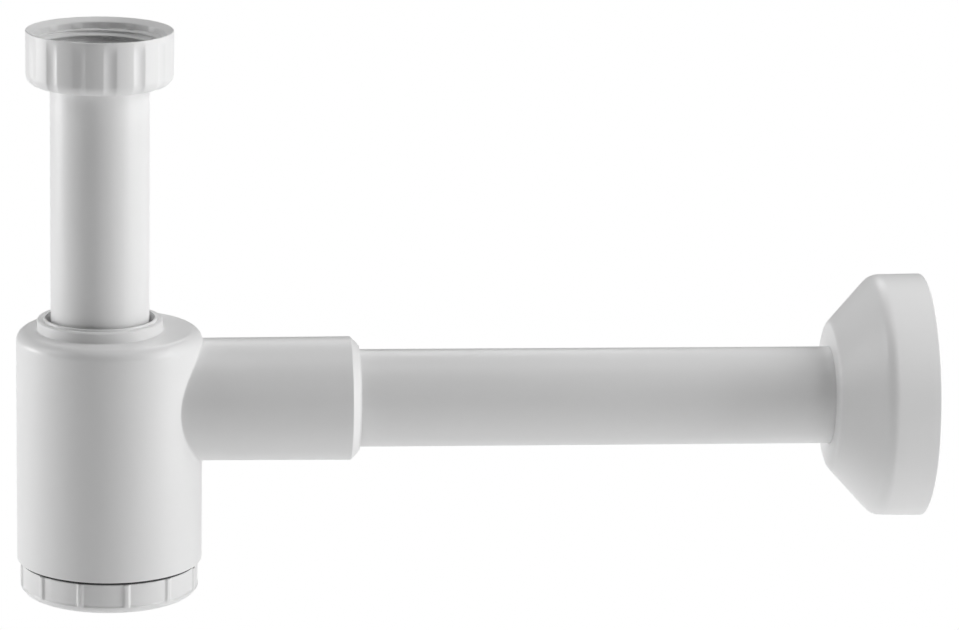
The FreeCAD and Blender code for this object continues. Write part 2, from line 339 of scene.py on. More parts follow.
def add_piece(name, points, faces, body, slot, material, *nodes):
    """Mesh object at the origin with smooth faces and sharp true edges, riding on a body of the frame
    in place of its nodes."""
    mesh = bpy.data.meshes.new(name)
    mesh.from_pydata((points.reshape(-1, 3) * MM).tolist(), [], faces)
    mesh.shade_smooth()
    mesh.set_sharp_from_angle(angle=SHARP_ANGLE)
    mesh.materials.append(material)
    piece = bpy.data.objects.new(name, mesh)
    bpy.context.scene.collection.objects.link(piece)
    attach(piece, body)
    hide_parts(*nodes)


def ring_faces(rows, columns):
    """Faces of a closed chain of rings."""
    return grid_quads(rows, columns, True).reshape(-1, 4).tolist()


def turned_points(rows, axis):
    """Plain surface of revolution of (radius, height) rows."""
    wide = np.ones((1, TUBE_COLUMNS))
    return revolve(rows[:, :1] * wide, rows[:, 1:] * wide, even_angles(TUBE_COLUMNS), axis)


def thread_wave(angles, height, pitch, sharpness):
    """1 on the crests and -1 in the roots of a right-hand thread: tanh(s cos 2 pi u) / tanh s, with
    u = height / pitch - angle / 2 pi."""
    u = height / pitch - angles / (2 * math.pi)
    return np.tanh(sharpness * np.cos(2 * math.pi * u)) / math.tanh(sharpness)


def thread_fade(height, low, rise, high, fall):
    """Share of a thread's full depth. It grows between two heights above its low end and fades between
    two heights below its high end."""
    grown = smooth_step(height, low + rise[0], low + rise[1])
    return grown * (1 - smooth_step(height, high - fall[0], high - fall[1]))


# Surfaces of the pieces
def nut_surface():
    """Union nut: an outline turned round the inlet axis. Outside, 15 flutes of depth d (1 - (w / half)^2)
    are taken off the radius. Inside, the thread's radius is mean - depth wave, cut by two cones."""
    top, bottom, outer_r = nut_high[2], nut_low[2], nut_high[0]
    floor_z = bottom + NUT_LIP
    step_z = top - NUT_COUNTERBORE_DEPTH
    outside = outline([
        (NUT_HOLE_R, floor_z),
        (NUT_HOLE_R, bottom, ROUND_EDGE),
        (outer_r, bottom, NUT_EDGE_R),
        (outer_r, top, SOFT_EDGE),
        (outer_r - NUT_RIM_LAND, top, NUT_RIM_EDGE),
        (NUT_COUNTERBORE_R, top - NUT_LEAD_IN_DEPTH, NUT_LEAD_IN_EDGE),
        (NUT_COUNTERBORE_R, step_z),
    ], longest=FINE_RUN)
    thread_z = np.linspace(step_z, 0, NUT_THREAD_ROWS + 1)[1:]
    relief = outline([
        (NUT_ROOT_R, -RING_GAP),
        (NUT_ROOT_R, floor_z, SMALL_EDGE),
        (NUT_HOLE_R + RING_GAP, floor_z),
    ])
    angles = even_angles(NUT_COLUMNS, FLUTE_COUNT, FLUTE_TURN, FLUTE_CROWDING)
    wide = np.ones((1, len(angles)))

    radius, height = outside[:, :1] * wide, outside[:, 1:] * wide
    pitch_angle = 2 * math.pi / FLUTE_COUNT
    from_flute = (angles - FLUTE_TURN + pitch_angle / 2) % pitch_angle - pitch_angle / 2
    deep = FLUTE_DEPTH * (1 - (from_flute * outer_r / FLUTE_HALF_WIDTH) ** 2)
    deep = (deep + np.sqrt(deep ** 2 + FLUTE_SOFTNESS ** 2)) / 2
    flute_top = top - FLUTE_TOP_MARGIN
    fade = 1 - smooth_step(height, flute_top, flute_top + FLUTE_FADE)
    flute_r = outer_r - NUT_EDGE_R
    on_outside = smooth_step(radius, flute_r, flute_r + FLUTE_INWARD_FADE) * (height < top - NUT_RIM_MARGIN)
    radius = radius - deep * fade * on_outside

    thread_height = thread_z[:, None] * wide
    mean_r, depth = (NUT_CREST_R + NUT_ROOT_R) / 2, (NUT_ROOT_R - NUT_CREST_R) / 2
    wave = thread_wave(angles, thread_height, NUT_PITCH, NUT_THREAD_SHARPNESS)
    upper_cone = NUT_COUNTERBORE_R - NUT_THREAD_LEAD_SLOPE * (step_z - thread_height)
    lower_cone = NUT_ROOT_R - NUT_THREAD_LEAD_SLOPE * thread_height
    thread_r = np.maximum(np.maximum(mean_r - depth * wave, upper_cone), lower_cone)

    radius = np.concatenate([radius, thread_r, relief[:, :1] * wide])
    height = np.concatenate([height, thread_height, relief[:, 1:] * wide])
    return revolve(radius, height, angles, INLET_AXIS)


def inlet_tube_rows():
    """Outline of the inlet tube with its flange and bevelled end."""
    low, high = inlet_low[2], inlet_high[2]
    under = high - FLANGE_THICKNESS
    bore_r = TUBE_R - TUBE_WALL
    return outline([
        (bore_r, low, FINE_EDGE),
        (TUBE_R - TUBE_BEVEL, low, SMALL_EDGE),
        (TUBE_R, low + 2 * TUBE_BEVEL, SOFT_EDGE),
        (TUBE_R, under, FLANGE_FILLET),
        (inlet_high[0], under, FINE_EDGE),
        (inlet_high[0], high, SOFT_EDGE),
        (bore_r, high, FINE_EDGE),
    ], closed=True)


def outlet_tube_rows():
    """Outline of the outlet tube, bevelled at both ends."""
    low, high = outlet_low[0], outlet_high[0]
    bore_r = TUBE_R - TUBE_WALL
    return outline([
        (bore_r, low, FINE_EDGE),
        (TUBE_R - TUBE_BEVEL, low, SMALL_EDGE),
        (TUBE_R, low + 2 * TUBE_BEVEL, SOFT_EDGE),
        (TUBE_R, high - 2 * TUBE_BEVEL, SOFT_EDGE),
        (TUBE_R - TUBE_BEVEL, high, SMALL_EDGE),
        (bore_r, high, FINE_EDGE),
    ], closed=True)


def washer_rows():
    """Outline of the flat union washer."""
    bore_r = TUBE_R - TUBE_WALL
    return outline([
        (bore_r, washer_low[2], FINE_EDGE),
        (washer_high[0], washer_low[2], SOFT_EDGE),
        (washer_high[0], washer_high[2], SOFT_EDGE),
        (bore_r, washer_high[2], FINE_EDGE),
    ], closed=True)


def seal_rows(outer_r, low, high):
    """Outline of a ring seal: a lip at each end that runs on the tube, and a relieved middle."""
    deep_r = LIP_R + LIP_RELIEF
    return outline([
        (LIP_R, low, SOFT_EDGE),
        (outer_r, low, ROUND_EDGE),
        (outer_r, high, ROUND_EDGE),
        (LIP_R, high, SOFT_EDGE),
        (LIP_R, high - LIP_HEIGHT, SMALL_EDGE),
        (deep_r, high - LIP_HEIGHT - LIP_RELIEF, SMALL_EDGE),
        (deep_r, low + LIP_HEIGHT + LIP_RELIEF, SMALL_EDGE),
        (LIP_R, low + LIP_HEIGHT, SMALL_EDGE),
    ], closed=True)


def retainer_rows(outer_r, low, high):
    """Outline of a ring pressed in over a seal: its end slopes up to a fine edge round the tube."""
    inner_r = outer_r - RING_THICKNESS
    return outline([
        (inner_r, low, FINE_EDGE),
        (outer_r, low, SMALL_EDGE),
        (outer_r, high - RING_SLOPE, HAIR_EDGE),
        (inner_r + RING_SLOPE, high, HAIR_EDGE),
        (inner_r, high, FINE_EDGE),
    ], closed=True)


def rosette_rows():
    """Outline of the rosette's shell: flat nose ring, cone, wide shoulder and straight rim, with the
    same outline a wall's thickness inside."""
    front, end = rosette_low[0], rosette_high[0]
    rim_r = ROSETTE_RIM_R
    cone_x = end - ROSETTE_RIM_LENGTH
    slope = math.atan2(rim_r - ROSETTE_NOSE_R, cone_x - front)
    inside_nose = ROSETTE_WALL * math.tan(slope / 2)
    inside_rim = ROSETTE_WALL * math.tan((math.pi / 2 - slope) / 2)
    return outline([
        (LIP_R, front, FINE_EDGE),
        (ROSETTE_NOSE_R, front, ROSETTE_NOSE_FILLET),
        (rim_r - ROSETTE_RIM_DRAFT, cone_x, ROSETTE_SHOULDER_FILLET),
        (rim_r, end, ROSETTE_EDGE_R),
        (rim_r - ROSETTE_WALL, end, SMALL_EDGE),
        (rim_r - ROSETTE_WALL, cone_x + ROSETTE_WALL - inside_rim,
         ROSETTE_SHOULDER_FILLET - ROSETTE_WALL),
        (ROSETTE_NOSE_R - inside_nose, front + ROSETTE_WALL, ROSETTE_INSIDE_FILLET),
        (LIP_R, front + ROSETTE_WALL, FINE_EDGE),
    ], closed=True, longest=ROSETTE_RUN)


def gasket_rows():
    """Outline of the flat ring between body and cap."""
    inner_r = MOUTH_CREST_R - CAP_THREAD_GAP + GASKET_GAP
    outer_r = gasket_high[0] - body_x
    return outline([
        (inner_r, gasket_low[2], HAIR_EDGE),
        (outer_r, gasket_low[2], SMALL_EDGE),
        (outer_r, gasket_high[2], SMALL_EDGE),
        (inner_r, gasket_high[2], HAIR_EDGE),
    ], closed=True)


def cap_surface():
    """Cleaning cap: an outline from the middle of its underside round to the middle of its floor. The
    panels between the ribs are sunk by a soft step of the angle, and the skirt's thread is radius +
    depth wave. Returns the rings between the two poles, and the two poles."""
    skirt_r = MOUTH_CREST_R - CAP_THREAD_GAP
    inner_r = skirt_r - CAP_SKIRT_WALL
    bottom, skirt_top, floor_z = cap_low[2], cap_high[2], cap_low[2] + CAP_FLOOR
    outside = outline([
        (POLE_RING_R, bottom),
        (cap_r, bottom, CAP_EDGE_R),
        (cap_r, cap_top_z, CAP_TOP_EDGE_R),
        (skirt_r + GASKET_GAP, cap_top_z),
    ], longest=FINE_RUN)
    thread_z = np.linspace(cap_top_z, skirt_top - CAP_SKIRT_BEVEL, CAP_THREAD_ROWS + 1)[1:]
    inside = outline([
        (skirt_r - CAP_SKIRT_BEVEL, skirt_top),
        (inner_r, skirt_top, SOFT_EDGE),
        (inner_r, floor_z, CAP_INSIDE_EDGE_R),
        (POLE_RING_R, floor_z),
    ])
    angles = even_angles(CAP_COLUMNS, RIB_COUNT, RIB_TURN, RIB_CROWDING)
    wide = np.ones((1, len(angles)))

    radius, height = outside[:, :1] * wide, outside[:, 1:] * wide
    pitch_angle = 2 * math.pi / RIB_COUNT
    from_rib = np.abs((angles - RIB_TURN + pitch_angle / 2) % pitch_angle - pitch_angle / 2) * cap_r
    panel = smooth_step(from_rib, RIB_WIDTH / 2 - RIB_FLANK / 2, RIB_WIDTH / 2 + RIB_FLANK / 2)
    band_z = bottom + CAP_BAND_HEIGHT
    above_band = smooth_step(height, band_z, band_z + RIB_FLANK)
    on_outside = smooth_step(radius, skirt_r, cap_r - PANEL_INWARD_FADE)
    radius = radius - RIB_HEIGHT * panel * above_band * on_outside

    thread_height = thread_z[:, None] * wide
    wave = thread_wave(angles, thread_height, CAP_PITCH, CAP_THREAD_SHARPNESS)
    fade = thread_fade(thread_height, cap_top_z, CAP_THREAD_RISE, skirt_top, CAP_THREAD_FALL)
    thread_r = skirt_r - CAP_THREAD_DEPTH / 2 * (2 - fade - wave * fade)

    radius = np.concatenate([radius, thread_r, inside[:, :1] * wide])
    height = np.concatenate([height, thread_height, inside[:, 1:] * wide])
    rings = revolve(radius, height, angles, BODY_AXIS)
    poles = np.array([[body_x, 0, bottom], [body_x, 0, floor_z]], float)
    return rings, poles


def capped_faces(rows, columns):
    """Faces of an open chain of rings with a pole at each end. The poles come after the rings."""
    quads = grid_quads(rows, columns, False).reshape(-1, 4).tolist()
    first, last = np.arange(columns), np.arange(columns) + (rows - 1) * columns
    low_pole, high_pole = rows * columns, rows * columns + 1
    low_fan = np.stack([np.full(columns, low_pole), np.roll(first, -1), first], -1).tolist()
    high_fan = np.stack([np.full(columns, high_pole), last, np.roll(last, -1)], -1).tolist()
    return quads + low_fan + high_fan


# The body's rings are rows of (centre x, radius, height)
def section(points, centre_x, longest=LONGEST_RUN):
    """Rings of an outline about one upright axis."""
    rows = outline(points, longest=longest)
    return np.column_stack([np.full(len(rows), centre_x), rows])


def flat_between(start, end):
    """Rings between two rings of different centres in one plane, close to each and evenly between."""
    return start + SHOULDER_SHARES[:, None] * (end - start)


def body_sections():
    """Rings round the body's whole skin: outside wall and shoulder, neck, seal chamber and dip tube,
    then the cavity's ceiling and wall, and back to the rim through the mouth's thread."""
    bottom, neck_top = body_low[2], body_high[2]
    seal_low, dip_end = inlet_seal_low[2], body_low[2] + DIP_BELOW_RIM
    dip_r, cavity_r = DIP_BORE_R + DIP_WALL, body_r - BODY_WALL
    ceiling, mouth_top = shoulder_z - BODY_WALL, bottom + MOUTH_LENGTH
    taper_z = seal_low - DIP_TAPER
    wall = section([
        (MOUTH_CREST_R + MOUTH_LEAD, bottom),
        (body_r, bottom, BODY_RIM_R),
        (body_r, shoulder_z, BODY_EDGE_R),
        (body_r - BODY_EDGE_R - SUPPORT_GAP, shoulder_z),
    ], body_x, longest=BODY_WALL_RUN)
    neck = section([
        (NECK_R + NECK_ROOT_R + SUPPORT_GAP, shoulder_z),
        (NECK_R, shoulder_z, NECK_ROOT_R),
        (NECK_R, neck_top - NECK_BEVEL, SOFT_EDGE),
        (NECK_R - NECK_BEVEL, neck_top, FINE_EDGE),
        (CHAMBER_R, neck_top, HAIR_EDGE),
        (CHAMBER_R, seal_low, SMALL_EDGE),
        (DIP_BORE_R, seal_low, SMALL_EDGE),
        (DIP_BORE_R, dip_end, ROUND_EDGE),
        (dip_r, dip_end, ROUND_EDGE),
        (dip_r, taper_z, BROAD_EDGE),
        (NECK_R, taper_z + NECK_R - dip_r, BROAD_EDGE),
        (NECK_R, ceiling, NECK_CEILING_R),
        (NECK_R + NECK_CEILING_START, ceiling),
    ], 0.0)
    cavity = section([
        (cavity_r - CEILING_R - SUPPORT_GAP, ceiling),
        (cavity_r, ceiling, CEILING_R),
        (cavity_r, mouth_top + cavity_r - MOUTH_CREST_R, SOFT_EDGE),
        (MOUTH_CREST_R, mouth_top),
    ], body_x, longest=BODY_CAVITY_RUN)
    return wall, neck, cavity


def rectangle_loop(rows_up, columns_up):
    """Row and column numbers round a rectangle of the grid: up its right side, left along its top, down
    its left side and back along its bottom."""
    tall, broad = len(rows_up), len(columns_up)
    right, left = np.full(tall - 1, columns_up[-1]), np.full(tall - 1, columns_up[0])
    top, bottom = np.full(broad - 1, rows_up[-1]), np.full(broad - 1, rows_up[0])
    rows = np.concatenate([rows_up[:-1], top, rows_up[:0:-1], bottom])
    columns = np.concatenate([right, columns_up[:0:-1], left, columns_up[:-1]])
    return rows, columns


def socket_radius(x):
    """Outer radius of the slightly tapered socket."""
    straight = body_high[0] - SOCKET_BEVEL - body_x
    return SOCKET_ROOT_R + (SOCKET_MOUTH_R - SOCKET_ROOT_R) * (x - body_x) / straight


def branch_ring(x, radius, turn):
    """Ring of the socket at places x and radii, for angles measured from +Y towards +Z."""
    x, radius = np.broadcast_to(x, turn.shape), np.broadcast_to(radius, turn.shape)
    return np.stack([x, radius * np.cos(turn), outlet_z + radius * np.sin(turn)], -1)


def fillet_rings(turn):
    """Fillet between socket and body, as a ball of radius f rolled along both. Its centre is where the
    cylinders of radius R + f and r + f meet: x = sqrt((R + f)^2 - y^2), y = (r + f) cos a. The rings
    turn from the ball's touch on the body to its touch on the socket."""
    r = socket_radius(body_x + body_r)
    y = (r + SOCKET_FILLET) * np.cos(turn)
    reach = np.sqrt((body_r + SOCKET_FILLET) ** 2 - y ** 2)
    centre = np.stack([body_x + reach, y, outlet_z + (r + SOCKET_FILLET) * np.sin(turn)], -1)
    to_body = np.stack([-reach, -y, np.zeros_like(y)], -1) / (body_r + SOCKET_FILLET)
    to_socket = np.stack([np.zeros_like(y), -np.cos(turn), -np.sin(turn)], -1)
    angle = np.arccos(np.clip((to_body * to_socket).sum(-1), -1, 1))[:, None]
    rings = []
    for t in np.linspace(0, 1, FILLET_RINGS):
        near = np.sin((1 - t) * angle) / np.sin(angle) * to_body
        far = np.sin(t * angle) / np.sin(angle) * to_socket
        rings.append(centre + SOCKET_FILLET * (near + far))
    return rings


def socket_rings(turn):
    """Rings of the outlet socket from its root on the body, out along its outside, round its bevelled
    end and back along its bores to the cavity's wall, where x = sqrt(R^2 - (r cos a)^2)."""
    end, bore_r = body_high[0], TUBE_R - TUBE_WALL
    chamber_low = outlet_seal_low[0]
    bevel_x = end - SOCKET_BEVEL
    straight_x = bevel_x - SOCKET_STRAIGHT_MARGIN
    bore_x = body_x + body_r - SOCKET_BORE_MARGIN
    rings = fillet_rings(turn)
    root_x = rings[-1][:, 0]
    for share in SOCKET_SHARES:
        x = root_x + share * (straight_x - root_x)
        rings.append(branch_ring(x, socket_radius(x), turn))
    mouth = outline([
        (socket_radius(straight_x), straight_x),
        (SOCKET_MOUTH_R, bevel_x, BROAD_EDGE),
        (SOCKET_MOUTH_R - SOCKET_BEVEL, end, SMALL_EDGE),
        (SOCKET_CHAMBER_R, end, HAIR_EDGE),
        (SOCKET_CHAMBER_R, chamber_low, SMALL_EDGE),
        (SOCKET_BORE_R, chamber_low),
        (SOCKET_BORE_R, SOCKET_STOP_X, SMALL_EDGE),
        (bore_r, SOCKET_STOP_X, SOFT_EDGE),
        (bore_r, bore_x),
    ])
    rings += [branch_ring(x, radius, turn) for radius, x in mouth]
    cavity_r = body_r - BODY_WALL
    mouth_x = body_x + np.sqrt(cavity_r ** 2 - (bore_r * np.cos(turn)) ** 2)
    rings += [branch_ring(bore_x + share * (mouth_x - bore_x), bore_r, turn) for share in BORE_SHARES]
    return rings


def wall_patch(ring_angle, ring_along, edge_angle, edge_along, wall_r, wall_z, wall_s, shares):
    """Rings on an upright wall between the socket's ring and a rectangle's edge: the angle and the way
    along the wall's outline go straight from one to the other, by the given shares."""
    rings = []
    for share in shares:
        angle = ring_angle + share * (edge_angle - ring_angle)
        along = ring_along + share * (edge_along - ring_along)
        radius = np.interp(along, wall_s, wall_r)
        rings.append(np.stack([
            body_x + radius * np.cos(angle), radius * np.sin(angle), np.interp(along, wall_s, wall_z)
        ], -1))
    return rings


def along_outline(section_rows):
    """Way along a section's rows, from its first row."""
    steps = np.hypot(np.diff(section_rows[:, 1]), np.diff(section_rows[:, 2]))
    return np.concatenate([[0], np.cumsum(steps)])


def body_surface():
    """Whole skin of the body: a closed chain of rings, with a window in the outside wall and one in the
    cavity's wall that the socket's rings join. Returns points and faces."""
    wall, neck, cavity = body_sections()
    bottom, mouth_top = body_low[2], body_low[2] + MOUTH_LENGTH
    thread_z = np.linspace(mouth_top, bottom + MOUTH_LEAD, MOUTH_THREAD_ROWS + 1)[1:]
    upright = np.ones_like(thread_z)
    thread = np.column_stack([body_x * upright, MOUTH_CREST_R * upright, thread_z])
    shoulder = flat_between(wall[-1], neck[0])
    ceiling = flat_between(neck[-1], cavity[0])
    rings = np.concatenate([wall, shoulder, neck, ceiling, cavity, thread])

    angles = even_angles(BODY_COLUMNS)
    wide = np.ones((1, BODY_COLUMNS))
    centre, radius, height = [rings[:, i:i + 1] * wide for i in range(3)]
    wave = thread_wave(angles, height, CAP_PITCH, CAP_THREAD_SHARPNESS)
    in_mouth = np.zeros(len(rings))
    in_mouth[-len(thread):] = 1
    fade = thread_fade(height, bottom, MOUTH_THREAD_RISE, mouth_top, MOUTH_THREAD_FALL) * in_mouth[:, None]
    radius = radius + CAP_THREAD_DEPTH / 2 * (1 - wave) * fade
    grid = np.stack([centre + radius * np.cos(angles), radius * np.sin(angles), height], -1)
    quads = grid_quads(len(rings), BODY_COLUMNS, True)
    keep = np.ones(quads.shape[:2], bool)

    middle = BODY_COLUMNS // 2
    columns_up = np.arange(middle - WINDOW_HALF_COLUMNS, middle + WINDOW_HALF_COLUMNS + 1)
    wall_s = along_outline(wall)
    first_row = np.searchsorted(wall[:, 2], outlet_z - WINDOW_BELOW_OUTLET)
    last_row = np.searchsorted(wall[:, 2], shoulder_z - WINDOW_BELOW_SHOULDER)
    rows_up = np.arange(first_row, last_row + 1)
    edge_rows, edge_columns = rectangle_loop(rows_up, columns_up)
    keep[first_row:last_row, columns_up[0]:columns_up[-1]] = False
    turn = np.arctan2(wall[edge_rows, 2] - outlet_z, angles[edge_columns] * body_r)
    outer_loop = edge_rows * BODY_COLUMNS + edge_columns

    cavity_start = len(rings) - len(thread) - len(cavity)
    inner_top_z = shoulder_z - BODY_WALL - CEILING_R - RING_GAP
    below_ceiling = cavity_start + int(np.searchsorted(-cavity[:, 2], -inner_top_z))
    cavity_rows_up = np.arange(below_ceiling, below_ceiling + len(rows_up))[::-1]
    inner_rows, inner_columns = rectangle_loop(cavity_rows_up, columns_up)
    keep[cavity_rows_up[-1]:cavity_rows_up[0], columns_up[0]:columns_up[-1]] = False
    inner_loop = inner_rows * BODY_COLUMNS + inner_columns

    branch = socket_rings(turn)
    root, mouth = branch[0], branch[-1]
    root_angle, mouth_angle = [np.arctan2(ring[:, 1], ring[:, 0] - body_x) for ring in (root, mouth)]
    tangent_z = shoulder_z - BODY_EDGE_R
    root_along = root[:, 2] - tangent_z + np.interp(tangent_z, wall[:, 2], wall_s)
    outer_patch = wall_patch(root_angle, root_along, angles[edge_columns], wall_s[edge_rows],
                             wall[:, 1], wall[:, 2], wall_s, OUTER_PATCH_SHARES)
    plain_z = np.array([body_low[2], shoulder_z])
    inner_patch = wall_patch(mouth_angle, mouth[:, 2], angles[inner_columns], rings[inner_rows, 2],
                             np.full(2, body_r - BODY_WALL), plain_z, plain_z, INNER_PATCH_SHARES)
    loops = outer_patch + branch + inner_patch
    start = len(rings) * BODY_COLUMNS
    numbers = start + np.arange(len(loops) * len(turn)).reshape(len(loops), len(turn))
    chain = [outer_loop, *numbers, inner_loop]
    branch_faces = np.concatenate([loop_quads(a, b) for a, b in zip(chain[:-1], chain[1:])])
    points = np.concatenate([grid.reshape(-1, 3), np.concatenate(loops)])
    return points, quads[keep].tolist() + branch_faces.tolist()


# Finishes
def add_node(tree, kind, settings=None, **inputs):
    """Node with settings, whose named inputs are linked to a socket or set to a value."""
    node = tree.nodes.new(kind)
    for key, value in (settings or {}).items():
        setattr(node, key, value)
    for key, value in inputs.items():
        socket = node.inputs[key.replace("_", " ")]
        if isinstance(value, bpy.types.NodeSocket):
            tree.links.new(value, socket)
        else:
            socket.default_value = value
    return node


def new_group(name, inputs, outputs):
    """Empty shader group with named float, colour or vector sockets. Returns its tree, the input node
    and the output node."""
    kinds = {"float": "NodeSocketFloat", "colour": "NodeSocketColor", "vector": "NodeSocketVector"}
    tree = bpy.data.node_groups.new(name, "ShaderNodeTree")
    for socket_name, kind in inputs:
        tree.interface.new_socket(socket_name, in_out="INPUT", socket_type=kinds[kind])
    for socket_name, kind in outputs:
        tree.interface.new_socket(socket_name, in_out="OUTPUT", socket_type=kinds[kind])
    return tree, tree.nodes.new("NodeGroupInput"), tree.nodes.new("NodeGroupOutput")


def moulded_skin_group():
    """Skin of moulded plastic: broad faint clouds in tone and gloss, and a fine grain for the bump."""
    tree, given, made = new_group(
        "moulded_skin",
        [("Tone", "colour"), ("Cloud Size", "float"), ("Cloud Depth", "float"), ("Gloss", "float"),
         ("Gloss Change", "float"), ("Grain Size", "float")],
        [("Colour", "colour"), ("Roughness", "float"), ("Height", "float")])
    place = add_node(tree, "ShaderNodeTexCoord").outputs["Object"]
    cloud_scale = add_node(tree, "ShaderNodeMath", {"operation": "DIVIDE"})
    cloud_scale.inputs[0].default_value = 1.0
    tree.links.new(given.outputs["Cloud Size"], cloud_scale.inputs[1])
    cloud = add_node(tree, "ShaderNodeTexNoise", Vector=place, Scale=cloud_scale.outputs[0], Detail=3.0)
    spread = add_node(tree, "ShaderNodeMapRange", {"interpolation_type": "SMOOTHSTEP"},
                      Value=cloud.outputs["Fac"], From_Min=0.2, From_Max=0.8)
    darken = add_node(tree, "ShaderNodeMath", {"operation": "MULTIPLY"})
    tree.links.new(spread.outputs[0], darken.inputs[0])
    tree.links.new(given.outputs["Cloud Depth"], darken.inputs[1])
    mix = add_node(tree, "ShaderNodeMix", {"data_type": "RGBA"})
    tree.links.new(darken.outputs[0], mix.inputs[0])
    tree.links.new(given.outputs["Tone"], mix.inputs[6])
    mix.inputs[7].default_value = (0.0, 0.0, 0.0, 1.0)
    gloss = add_node(tree, "ShaderNodeMath", {"operation": "MULTIPLY_ADD"})
    tree.links.new(spread.outputs[0], gloss.inputs[0])
    tree.links.new(given.outputs["Gloss Change"], gloss.inputs[1])
    tree.links.new(given.outputs["Gloss"], gloss.inputs[2])
    grain_scale = add_node(tree, "ShaderNodeMath", {"operation": "DIVIDE"})
    grain_scale.inputs[0].default_value = 1.0
    tree.links.new(given.outputs["Grain Size"], grain_scale.inputs[1])
    grain = add_node(tree, "ShaderNodeTexNoise", Vector=place, Scale=grain_scale.outputs[0], Detail=2.0)
    tree.links.new(mix.outputs[2], made.inputs["Colour"])
    tree.links.new(gloss.outputs[0], made.inputs["Roughness"])
    tree.links.new(grain.outputs["Fac"], made.inputs["Height"])
    return tree


def drawn_lines_group():
    """Fine lines that drawing leaves along a tube: noise stretched along the tube's axis."""
    tree, given, made = new_group(
        "drawn_lines", [("Stretch", "vector"), ("Line Size", "float")], [("Line", "float")])
    place = add_node(tree, "ShaderNodeTexCoord").outputs["Object"]
    stretched = add_node(tree, "ShaderNodeVectorMath", {"operation": "MULTIPLY"})
    tree.links.new(place, stretched.inputs[0])
    tree.links.new(given.outputs["Stretch"], stretched.inputs[1])
    scale = add_node(tree, "ShaderNodeMath", {"operation": "DIVIDE"})
    scale.inputs[0].default_value = 1.0
    tree.links.new(given.outputs["Line Size"], scale.inputs[1])
    lines = add_node(tree, "ShaderNodeTexNoise", Vector=stretched.outputs[0], Scale=scale.outputs[0],
                     Detail=3.0)
    tree.links.new(lines.outputs["Fac"], made.inputs["Line"])
    return tree


SKIN = moulded_skin_group()
LINES = drawn_lines_group()

# Height of the drawn lines over the height of the grain
LINE_WEIGHT = 1.5


def place_group(tree, group, **inputs):
    """A node group placed in a material with its own values."""
    node = tree.nodes.new("ShaderNodeGroup")
    node.node_tree = group
    for key, value in inputs.items():
        node.inputs[key.replace("_", " ")].default_value = value
    return node


def plastic(name, tone, roughness, grain_depth, stretch=None):
    """White plastic: the moulded skin, with drawn lines as well where a stretch is given. Sizes in a
    finish are metres."""
    material = bpy.data.materials.new(name)
    material.use_nodes = True
    tree = material.node_tree
    shader = tree.nodes["Principled BSDF"]
    skin = place_group(tree, SKIN, Tone=(tone, tone, tone, 1), Cloud_Size=0.015, Cloud_Depth=0.004,
                       Gloss=roughness, Gloss_Change=0.015, Grain_Size=0.0006)
    tree.links.new(skin.outputs["Colour"], shader.inputs["Base Color"])
    tree.links.new(skin.outputs["Roughness"], shader.inputs["Roughness"])
    height = skin.outputs["Height"]
    if stretch:
        lines = place_group(tree, LINES, Stretch=stretch, Line_Size=0.0012)
        total = add_node(tree, "ShaderNodeMath", {"operation": "MULTIPLY_ADD"})
        tree.links.new(lines.outputs["Line"], total.inputs[0])
        total.inputs[1].default_value = LINE_WEIGHT
        tree.links.new(height, total.inputs[2])
        height = total.outputs[0]
    bump = add_node(tree, "ShaderNodeBump", Height=height, Strength=0.25, Distance=grain_depth)
    tree.links.new(bump.outputs[0], shader.inputs["Normal"])
    shader.inputs["IOR"].default_value = 1.49
    return material


def rubber(name):
    """Black rubber: a dull mottled skin."""
    material = bpy.data.materials.new(name)
    material.use_nodes = True
    tree = material.node_tree
    shader = tree.nodes["Principled BSDF"]
    skin = place_group(tree, SKIN, Tone=(0.035, 0.035, 0.037, 1), Cloud_Size=0.004, Cloud_Depth=0.3,
                       Gloss=0.5, Gloss_Change=0.2, Grain_Size=0.0003)
    tree.links.new(skin.outputs["Colour"], shader.inputs["Base Color"])
    tree.links.new(skin.outputs["Roughness"], shader.inputs["Roughness"])
    bump = add_node(tree, "ShaderNodeBump", Height=skin.outputs["Height"], Strength=0.5, Distance=0.0001)
    tree.links.new(bump.outputs[0], shader.inputs["Normal"])
    shader.inputs["IOR"].default_value = 1.5
    return material


# Tone, two roughnesses, the grain's depth in metres, and the noise's scale along a tube
WHITE = 0.87
SATIN = 0.36
SMOOTH = 0.34
GRAIN_DEPTH = 0.00003
ALONG = 0.01
MOULDED = plastic("moulded_white", WHITE, SATIN, GRAIN_DEPTH)
INLET_TUBE = plastic("drawn_white_upright", WHITE, SMOOTH, GRAIN_DEPTH, stretch=(1, 1, ALONG))
OUTLET_TUBE = plastic("drawn_white_level", WHITE, SMOOTH, GRAIN_DEPTH, stretch=(ALONG, 1, 1))
ROSETTE = plastic("rosette_white", WHITE, SMOOTH, GRAIN_DEPTH)
RUBBER = rubber("black_rubber")


# Pieces
def add_turned(name, rows, axis, body, slot, material, node):
    """Piece that is one closed outline turned round an axis."""
    points = turned_points(rows, axis)
    add_piece(name, points, ring_faces(len(rows), TUBE_COLUMNS), body, slot, material, node)


